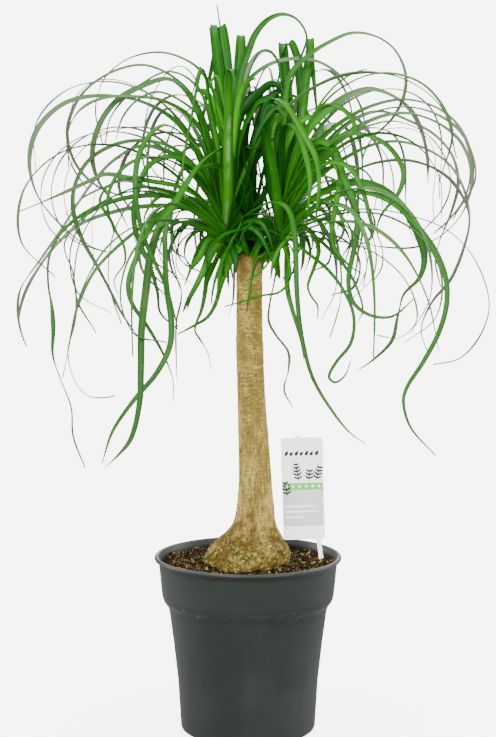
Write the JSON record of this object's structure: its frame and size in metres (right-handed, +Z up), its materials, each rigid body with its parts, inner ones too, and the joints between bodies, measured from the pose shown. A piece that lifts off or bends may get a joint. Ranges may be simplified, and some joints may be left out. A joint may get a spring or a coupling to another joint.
{
  "type": "potted ponytail palm",
  "caption": "Potted ponytail palm: slim corky stem with a swollen foot, heads of long curling strap leaves, nursery pot with soil, plain stick-in label.",
  "frame": {"origin": "middle of the flat underside of the pot, on the pot's axis", "axes": "+Z up along the pot's axis, -Y towards the front of the plant, +X to the right as seen from the front"},
  "size_m": [0.5356, 0.6, 0.8126],
  "materials": {
    "pot_plastic": "satin",
    "soil": "crumbly peat and coir, matt",
    "bark": "corky, matt",
    "label_plastic": "smooth",
    "leaf": "glossy, smooth",
    "leaf_shaded": "glossy, smooth"
  },
  "bodies": {
    "root": {"pot": "pot_plastic", "soil": "soil", "trunk": "bark", "label": "label_plastic", "foliage_left": "leaf", "foliage_right": "leaf", "foliage_back": "leaf_shaded"}
  },
  "joints": []
}
